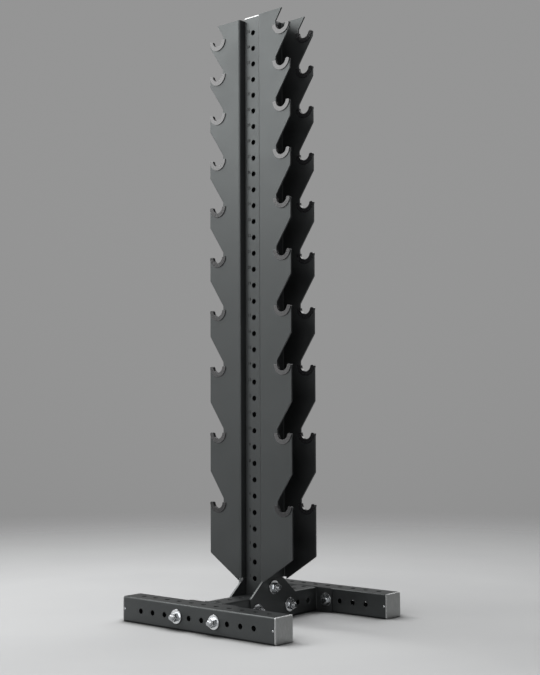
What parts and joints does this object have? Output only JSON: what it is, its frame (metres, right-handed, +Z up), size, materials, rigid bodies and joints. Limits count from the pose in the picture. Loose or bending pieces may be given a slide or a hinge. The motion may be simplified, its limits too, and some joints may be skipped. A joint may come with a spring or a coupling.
{
  "type": "dumbbell rack",
  "caption": "Free-standing vertical dumbbell rack: a punched square post on an H-shaped base, with a bent channel of open, lined hooks bolted to each side.",
  "frame": {"origin": "centre of the base, on the floor, under the middle of the post", "axes": "+X along the feet to the right as seen from the front, +Y to the back, +Z up"},
  "size_m": [0.6176, 0.6632, 1.909],
  "materials": {
    "powder_coat": "satin black powder coat on steel",
    "hook_liner": "glossy black moulded plastic",
    "end_cap": "brushed, bevelled rim",
    "zinc_hardware": "bright zinc plate"
  },
  "bodies": {
    "root": {"post": "powder_coat", "front_foot": "powder_coat", "rear_foot": "powder_coat", "cross_member": "powder_coat", "front_flange_plate": "powder_coat", "rear_flange_plate": "powder_coat", "right_gusset": "powder_coat", "left_gusset": "powder_coat", "right_hook_channel": "powder_coat", "left_hook_channel": "powder_coat", "front_foot_left_cap": "end_cap", "front_foot_right_cap": "end_cap", "rear_foot_left_cap": "end_cap", "rear_foot_right_cap": "end_cap", "post_top_cap": "end_cap", "right_front_hook_liners": "hook_liner", "right_rear_hook_liners": "hook_liner", "left_front_hook_liners": "hook_liner", "left_rear_hook_liners": "hook_liner", "gusset_bolts": "zinc_hardware", "channel_bolts": "zinc_hardware", "foot_bolts": "zinc_hardware", "nuts": "zinc_hardware", "washers": "zinc_hardware"}
  },
  "joints": []
}
